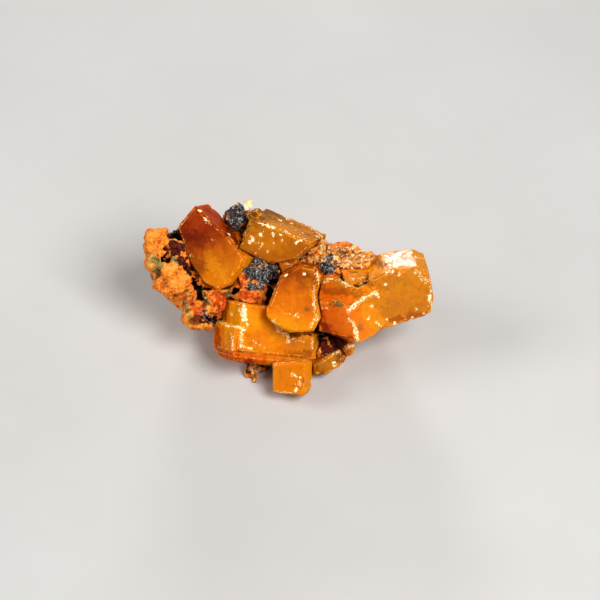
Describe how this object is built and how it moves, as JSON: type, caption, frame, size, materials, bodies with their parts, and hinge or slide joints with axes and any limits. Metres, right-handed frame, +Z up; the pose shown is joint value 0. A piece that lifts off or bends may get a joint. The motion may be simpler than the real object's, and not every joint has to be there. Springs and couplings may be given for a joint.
{
  "type": "mineral specimen",
  "caption": "Mineral specimen of thick, honey-orange wulfenite crystals, tabular and stepped, grown on a lump of iron-stained rock with a flat underside to lie on.",
  "frame": {"origin": "on the resting plane, under the middle of the specimen's bounding box", "axes": "+X along the specimen's longest side, to the right as pictured; +Y away from the viewer; +Z up"},
  "size_m": [0.048, 0.0302, 0.0237],
  "materials": {
    "rock": "matte",
    "dark_wulfenite": "gloss",
    "golden_wulfenite": "gloss",
    "orange_wulfenite": "gloss",
    "yellow_wulfenite": "gloss",
    "pale_wulfenite": "gloss"
  },
  "bodies": {
    "root": {"matrix": "rock", "left_crystal": "dark_wulfenite", "upper_crystals": "golden_wulfenite", "front_crystals": "orange_wulfenite", "right_crystals": "golden_wulfenite", "lower_crystal": "yellow_wulfenite", "corner_crystal": "yellow_wulfenite", "top_chip": "pale_wulfenite"}
  },
  "joints": []
}
